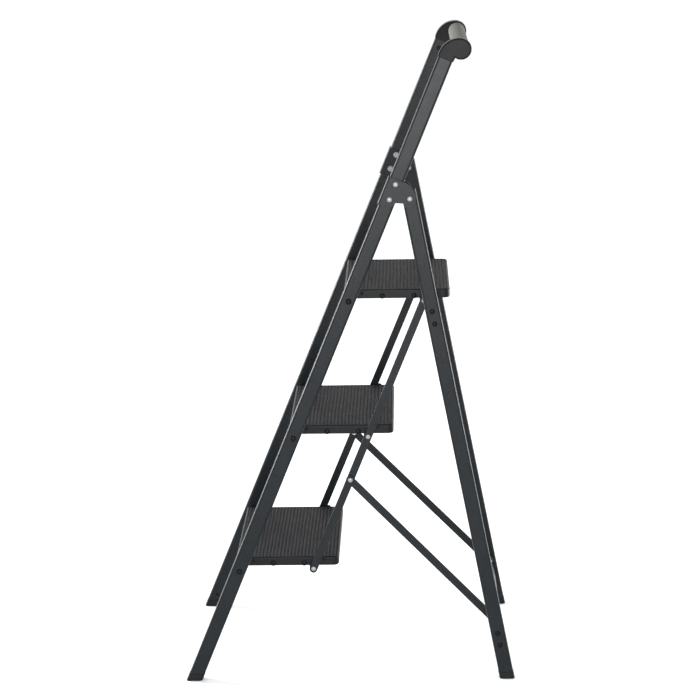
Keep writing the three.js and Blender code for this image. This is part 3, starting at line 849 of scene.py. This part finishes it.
def add_linkage_pins():
    for name, y, z, half_width in TREADS:
        node = f"tread_bolt_{name}_{{}}"
        bolt = tread_bolt(z, half_width)
        add_pin(f"pivot_{name}", node, bolt, (y, z), "front_frame", "black_steel")
    for (name, _, _, half_width), place in zip(TREADS, LINK_RIVETS):
        node = f"link_rivet_{name}_{{}}"
        rivet = link_rivet(place[1], half_width)
        add_pin(f"link_pin_{name}", node, rivet, place, "link_{}", "zinc_steel")
    rivet = brace_rivet(BRACE_HEAD[1])
    tail = brace_rivet_tail(BRACE_HEAD[1])
    pin = brace_pin(BRACE_FOOT[1])
    add_pin("brace_head", "brace_rivet_{}", rivet, BRACE_HEAD, "brace_{}", "zinc_steel")
    add_pin("brace_tail", "", tail, BRACE_HEAD, "link_{}", "zinc_steel")
    add_pin("brace_foot_pin", "brace_pin_{}", pin, BRACE_FOOT, "rear_frame", "zinc_steel")


def add_crossbar_bolts():
    for name, height in CROSSBAR_HEIGHTS.items():
        for label, end, node in (("high", 1, f"crossbar_bolt_{name}_{{}}"), ("low", -1, "")):
            z = height + end * CROSSBAR_BOLT_RISE * cos(LEG_LEAN)
            place = (crossbar_y(z), z)
            bolt = crossbar_bolt(z)
            add_pin(f"bar_bolt_{name}_{label}", node, bolt, place, "rear_frame", "black_steel")


def add_inner_screws():
    place = on_rail(CAP_SCREW_S)
    screw = inner_screw("cap_screw", place[1], CAP_SCREW_DIMPLE, CAP_SCREW_DEEP)
    add_pin("neck_screw", "cap_screw_{}", screw, place, "front_frame", "black_steel")
    place = on_rail(FOOT_SCREW_S)
    screw = inner_screw("foot_screw", place[1], FOOT_SCREW_DIMPLE, FOOT_SCREW_DEEP)
    add_pin("foot_screw", "", screw, place, "front_frame", "black_steel")


# ---------------------------------------------------------------- hinge brackets


def bracket_outline(front):
    """Side plate [n, s] behind the bend: it covers the rail and reaches back to the leg's pin."""
    return outline_of(
        (front, BRACKET_LOW),
        arc(*BRACKET_LOWER_ROUND, -90, 0, 8),
        BRACKET_NOTCH_START,
        arc(*BRACKET_NOTCH, -125, 0, 12),
        arc(*BRACKET_UPPER_ROUND, 0, 90, 16),
        (front, BRACKET_HIGH),
    )


def bracket_bend(low, high):
    """The bent front of the bracket, a U of sheet swept up the rail."""
    front = -TUBE_DEEP / 2 - BRACKET_GAP - BRACKET_SHEET
    outer_x = BRACKET_GAP + BRACKET_SHEET
    inner_x = -TUBE_THICK - outer_x
    centre = front + BRACKET_BEND
    small = BRACKET_BEND - BRACKET_SHEET
    right = outer_x - BRACKET_BEND
    left = inner_x + BRACKET_BEND
    profile = outline_of(
        arc(left, centre, BRACKET_BEND, 180, 270, 6),
        arc(right, centre, BRACKET_BEND, 270, 360, 6),
        arc(right, centre, small, 360, 270, 6),
        arc(left, centre, small, 270, 180, 6),
    )
    return loft([at_height(profile, low), at_height(profile, high)])


def hinge_bracket():
    start = -TUBE_DEEP / 2 - BRACKET_GAP - BRACKET_SHEET + BRACKET_BEND
    outline = bracket_outline(start)
    outer = BRACKET_GAP + BRACKET_SHEET
    inner = -TUBE_THICK - outer
    return merged(
        edged_plate(outline, BRACKET_GAP, outer, BRACKET_EDGE, 2),
        edged_plate(outline, inner, inner + BRACKET_SHEET, BRACKET_EDGE, 2),
        bracket_bend(BRACKET_LOW + BRACKET_EDGE, BRACKET_HIGH - BRACKET_EDGE),
    )


def add_brackets():
    bracket = on_side(leaned(hinge_bracket(), RAIL_LEAN, RAIL_FOOT_Y))
    add_pair("saddle", "hinge_bracket_{}", bracket, "front_frame", "black_paint")


# ---------------------------------------------------------------- parts kept from the CAD model


def finish_node(name, material, edge=0.0):
    """Gives a kept CAD node its material and, with a width, softly rounded edges."""
    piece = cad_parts[name]
    piece.data.materials.clear()
    piece.data.materials.append(MATERIALS[material])
    if edge:
        bevel = piece.modifiers.new("eased_edges", "BEVEL")
        bevel.width = edge * MM
        bevel.segments = 2
        bevel.angle_limit = math.radians(35)
        flatness = piece.modifiers.new("flat_faces", "WEIGHTED_NORMAL")
        flatness.keep_sharp = True


def finish_kept_nodes():
    finish_node("grip_core", "bare_steel")
    for name in CROSSBAR_HEIGHTS:
        finish_node(f"crossbar_{name}", "black_paint", CROSSBAR_EDGE)


# ---------------------------------------------------------------- treads


def tread_outline(half_width, inset):
    """Outline of a tread, drawn in by the inset; its corners never get quite sharp."""
    front = max(TREAD_CORNER_FRONT - inset, SMALLEST_CORNER_FRONT)
    rear = max(TREAD_CORNER_REAR - inset, SMALLEST_CORNER_REAR)
    wide = half_width - inset
    start = TREAD_FRONT + inset
    end = TREAD_REAR - inset
    return np.vstack(
        (
            arc(wide - rear, end - rear, rear, 0, 90, 6),
            arc(rear - wide, end - rear, rear, 90, 180, 6),
            arc(front - wide, start + front, front, 180, 270, 6),
            arc(wide - front, start + front, front, 270, 360, 6),
        )
    )


def skirt_edge(lift):
    """Height of the skirt's lower edge, which curves up toward the rear."""

    def height(x, y):
        past = min(max(y - TREAD_REAR + SKIRT_ROUND, 0.0), SKIRT_ROUND)
        return TREAD_TOP - TREAD_SKIRT + SKIRT_ROUND - math.sqrt(SKIRT_ROUND**2 - past**2) + lift

    return height


def tread_pan(half_width):
    """Pressed tray: recess for the mat, eased rim, skirts all round, hollow underneath."""
    floor = TREAD_TOP - MAT_RECESS
    lip_wide, lip_deep = RIM_LIP
    steps = [(MAT_RIM, floor), (MAT_RIM, TREAD_TOP - lip_deep), (MAT_RIM - lip_wide, TREAD_TOP)]
    for angle in np.radians((0, 22.5, 45, 67.5, 90)):
        inset = PAN_EDGE * (1 - sin(angle))
        steps.append((inset, TREAD_TOP - PAN_EDGE * (1 - cos(angle))))
    steps += [(0, skirt_edge(SKIRT_LIP)), (SKIRT_LIP, skirt_edge(0))]
    steps += [(PAN_SHEET, skirt_edge(0)), (PAN_SHEET, floor - PAN_SHEET)]
    rings = [at_height(tread_outline(half_width, inset), z) for inset, z in steps]
    lug_y, lug_z = LINK_RIVET
    lug = outline_of(
        arc(lug_y, lug_z, LUG_RADIUS, 180, 360, 20),
        (lug_y + LUG_RADIUS, LUG_TOP),
        (lug_y - LUG_RADIUS, LUG_TOP),
    )
    inner = half_width - PAN_SHEET + LUG_CLEAR
    plate = edged_plate(lug, inner, half_width - LUG_CLEAR, LUG_EDGE, 2)
    return merged(loft(rings), plate, flipped(plate))


def mat_section(start, end):
    """Section [y, z] across the ribs, from one end of the mat to the other."""
    pitch = (end - start) / RIB_COUNT
    low = TREAD_TOP - MAT_RECESS + MAT_LIFT
    rows = [(start, low)]
    for rib in range(RIB_COUNT):
        rows += [(start + (rib + part) * pitch, TREAD_TOP - drop) for part, drop in RIB_SHAPE]
    rows += [(end, TREAD_TOP - RIB_DEEP), (end, low)]
    return np.array(rows)


def tread_mat(half_width, seed):
    """Ribbed mat: rounded ribs that wander a little, and rounded rear corners."""
    inset = MAT_RIM + MAT_CLEAR
    start = TREAD_FRONT + inset
    end = TREAD_REAR - inset
    half_mat = half_width - inset
    corner = TREAD_CORNER_REAR - inset
    section = mat_section(start, end)
    inside = (section[:, 0] > start + MAT_MARGIN) & (section[:, 0] < end - MAT_MARGIN)
    phase = np.random.default_rng(seed).uniform(0, 2 * math.pi, 3)
    rings = []
    for x in np.linspace(-half_mat, half_mat, MAT_STATIONS):
        ring = section.copy()
        for (size, length), shift in zip(RIB_WANDER, phase):
            ring[inside, 0] += size * sin(x / length + shift)
        crest = ring[:, 1] > TREAD_TOP - CREST_BAND
        ring[crest, 1] -= RIB_SAG[0] * (1 + sin(x / RIB_SAG[1] + phase[2]))
        past = np.clip(ring[:, 0] - (end - corner), 0, corner)
        reach = half_mat - corner + np.sqrt(corner**2 - past**2)
        rings.append(np.column_stack((x / half_mat * reach, ring)))
    return loft(rings)


def tread_rod(half_width):
    """Tie rod with a collar inside each side skirt and a head outside it."""
    shank = SHANK["tread_rod"]
    collar, long = ROD_COLLAR
    inside = half_width - PAN_SHEET - GAP
    outside = half_width + GAP
    half = [(inside - long, shank), (inside - long, collar), (inside, collar), (inside, shank)]
    half += [(outside, shank), *domed(outside, HEAD["tread_rod"], ROD_DIMPLE)]
    return lathe([(-x, radius) for x, radius in half][::-1] + half)


def skirt_pin(kind, half_width, proud):
    """Small headed piece in a side skirt, its head a little proud of the skirt."""
    shank = SHANK[kind]
    face = half_width + proud
    return lathe([(half_width - SKIRT_PIN_DEEP, shank), (face, shank), *domed(face, HEAD[kind])])


def add_tread(name, y, z, half_width, seed):
    body = f"tread_{name}"
    tray = moved(tread_pan(half_width), y, z)
    # The tray's finish is the powder coat darkened with painted shade.
    add_piece(f"tray_{name}", tray, body, "black_paint", [f"tread_pan_{name}"], finish="shaded_tray_paint")
    mat = moved(tread_mat(half_width, seed), y, z)
    add_piece(f"ribbed_mat_{name}", mat, body, "mat_rubber", [f"tread_mat_{name}"], crease=50)
    for place, rod_y in ROD_PLACES.items():
        rod = moved(tread_rod(half_width), y + rod_y, z + ROD_Z)
        node = f"tread_rod_{place}_{name}"
        add_piece(f"rod_{place}_{name}", rod, body, "black_steel", [node])
    place = (y + SKIRT_RIVET[0], z + SKIRT_RIVET[1])
    rivet = skirt_pin("skirt_rivet", half_width, 0)
    add_pin(f"skirt_rivet_{name}", "", rivet, place, body, "black_steel")
    place = (y + SKIRT_BUFFER[0], z + SKIRT_BUFFER[1])
    buffer = skirt_pin("skirt_buffer", half_width, SKIRT_BUFFER_PROUD)
    add_pin(f"buffer_{name}", "", buffer, place, body, "black_plastic")


def add_treads():
    for seed, (name, y, z, half_width) in enumerate(TREADS):
        add_tread(name, y, z, half_width, seed)


# ---------------------------------------------------------------- link bars and braces


def bar_between(start, end, centre):
    """Round-ended flat bar between two world (y, z) points, in the given plane."""
    low = (start[1] - centre * sin(SIDE_LEAN)) / cos(SIDE_LEAN)
    rise = (end[1] - centre * sin(SIDE_LEAN)) / cos(SIDE_LEAN) - low
    run = end[0] - start[0]
    length = math.hypot(run, rise)
    half = BAR_WIDE / 2
    over = BAR_END - half
    outline = outline_of(arc(0, length + over, half, 0, 180, 16), arc(0, -over, half, 180, 360, 16))
    bar = edged_plate(outline, centre - BAR_THICK / 2, centre + BAR_THICK / 2, BAR_EDGE)
    return on_side(moved(leaned(bar, math.atan2(run, rise), start[0]), 0, low))


def add_bars():
    link = bar_between(LINK_RIVETS[0], LINK_RIVETS[2], LINK_PLANE)
    brace = bar_between(BRACE_FOOT, BRACE_HEAD, BRACE_PLANE)
    add_pair("flat_link", "link_bar_{}", link, "link_{}", "black_paint")
    add_pair("flat_brace", "brace_{}", brace, "brace_{}", "black_paint")


# ---------------------------------------------------------------- handle


def cap_outline():
    """Goose-neck outline [n, s]: it carries on the rail, bends over and ends in a disc."""
    proud = TUBE_DEEP / 2 + CAP_PROUD
    disc_n, disc_s, disc_radius = CAP_DISC
    crest_n, crest_s, crest_radius = CAP_CREST
    meet = math.degrees(math.atan2(disc_s - crest_s, disc_n - crest_n))
    neck = math.degrees(math.atan2(CAP_NECK[1] - disc_s, CAP_NECK[0] - disc_n))
    foot = RAIL_TOP + GAP
    return outline_of(
        (-proud, foot),
        (proud, foot),
        arc(disc_n, disc_s, disc_radius, neck, meet, 30),
        arc(crest_n, crest_s, crest_radius, meet, 180, 12),
    )


def handle_cap():
    """Goose neck with its plug down inside the rail."""
    inner = -TUBE_THICK - CAP_SIDE_PROUD
    foot = RAIL_TOP + GAP
    body = edged_plate(cap_outline(), inner, CAP_SIDE_PROUD, CAP_EDGE, 5, foot, CAP_SUNK)
    plug = tube_outline(-TUBE_WALL - GAP)
    rings = [at_height(plug, RAIL_TOP - PLUG_LONG), at_height(plug, RAIL_TOP + CAP_PLUG_ROOT)]
    return merged(body, loft(rings))


def grip_sleeve(half_length):
    """Foam sleeve with softly rounded, slightly flared ends."""
    half = []
    for x, flare in ((0, 0), (60, 0.05), (half_length - 22, 0.1), (half_length - 9, 0.35)):
        half.append((x, GRIP_RADIUS + flare))
    for angle in np.radians((0, 30, 60, 90)):
        x = half_length - GRIP_END_ROUND * (1 - sin(angle))
        half.append((x, GRIP_RADIUS + GRIP_FLARE - GRIP_END_ROUND * (1 - cos(angle))))
    outside = [(-x, radius) for x, radius in half[:0:-1]] + half
    bore = [(half_length, GRIP_BORE), (-half_length, GRIP_BORE)]
    return lathe(outside + bore, 48, closed=True)


def add_handle():
    cap = on_side(leaned(handle_cap(), RAIL_LEAN, RAIL_FOOT_Y))
    add_pair("goose_neck", "handle_cap_{}", cap, "front_frame", "black_plastic")
    grip_y, grip_z = on_rail(CAP_DISC[1], CAP_DISC[0])
    cap_face = -TUBE_THICK - CAP_SIDE_PROUD + CAP_SUNK
    half_length = face_x(cap_face, grip_z + GRIP_RADIUS) - GAP
    sleeve = moved(grip_sleeve(half_length), grip_y, grip_z)
    grip = add_piece("foam_grip", sleeve, "front_frame", "grip_foam", ["grip_sleeve"])


# ---------------------------------------------------------------- camera, lights and floor

VIEW_AZIMUTH = 91.635
VIEW_ELEVATION = 14.022
VIEW_ROLL = -1.049
VIEW_DISTANCE = 4.3145
VIEW_TARGET = Vector((0, 0.0052, 0.6229))
LENS = 109.85
SENSOR = 36

# name: (place, what it points at, (width, height), power), in metres and watts
LIGHTS = {
    "key": ((5.4, -0.1, 1.3), (0, 0, 1.1), (2.4, 1.6), 190),
    "front_strip": ((-1.6, -4.8, 1.6), (0, 0, 0.8), (1.2, 1.3), 430),
    "rear_strip": ((-1.6, 4.8, 0.6), (0, 0, 0.6), (1.2, 1.2), 210),
}
WORLD_STRENGTH = 1.08
FLOOR_HALF = 20
FLOOR_TONE = (0.945, 0.945, 0.945)


def make_camera():
    data = bpy.data.cameras.new("camera")
    data.lens = LENS
    data.sensor_width = SENSOR
    data.clip_start = 0.1
    data.clip_end = 100
    camera = bpy.data.objects.new("camera", data)
    scene.collection.objects.link(camera)
    azimuth = math.radians(VIEW_AZIMUTH)
    elevation = math.radians(VIEW_ELEVATION)
    level = cos(elevation)
    back = Vector((sin(azimuth) * level, -cos(azimuth) * level, sin(elevation)))
    right = Vector((0, 0, 1)).cross(back).normalized()
    up = back.cross(right)
    turn = Matrix.Rotation(math.radians(VIEW_ROLL), 3, back)
    right = turn @ right
    up = turn @ up
    rotation = Matrix((right, up, back)).transposed()
    camera.matrix_world = Matrix.LocRotScale(VIEW_TARGET + back * VIEW_DISTANCE, rotation, None)
    scene.camera = camera


def area_light(name, place, target, size, power):
    data = bpy.data.lights.new(name, "AREA")
    data.shape = "RECTANGLE"
    data.size, data.size_y = size
    data.energy = power
    light = bpy.data.objects.new(name, data)
    light.location = place
    light.rotation_euler = (Vector(target) - Vector(place)).to_track_quat("-Z", "Y").to_euler()
    scene.collection.objects.link(light)


def make_world():
    world = bpy.data.worlds.new("studio")
    world.use_nodes = True
    background = world.node_tree.nodes["Background"]
    background.inputs["Color"].default_value = (1, 1, 1, 1)
    background.inputs["Strength"].default_value = WORLD_STRENGTH
    scene.world = world
    scene.view_settings.view_transform = "Standard"


def make_floor():
    corners = [(x * FLOOR_HALF, y * FLOOR_HALF, 0) for x, y in ((-1, -1), (1, -1), (1, 1), (-1, 1))]
    mesh = bpy.data.meshes.new("floor")
    mesh.from_pydata(corners, [], [(0, 1, 2, 3)])
    floor = bpy.data.objects.new("floor", mesh)
    scene.collection.objects.link(floor)
    material = bpy.data.materials.new("floor")
    material.use_nodes = True
    shader = material.node_tree.nodes["Principled BSDF"]
    shader.inputs["Base Color"].default_value = (*FLOOR_TONE, 1)
    mesh.materials.append(material)


# ---------------------------------------------------------------- the stool

add_tubes()
add_brackets()
finish_kept_nodes()
add_treads()
add_bars()
add_bracket_rivets()
add_linkage_pins()
add_crossbar_bolts()
add_inner_screws()
add_handle()

make_camera()
make_world()
make_floor()
for name, (place, target, size, power) in LIGHTS.items():
    area_light(name, place, target, size, power)
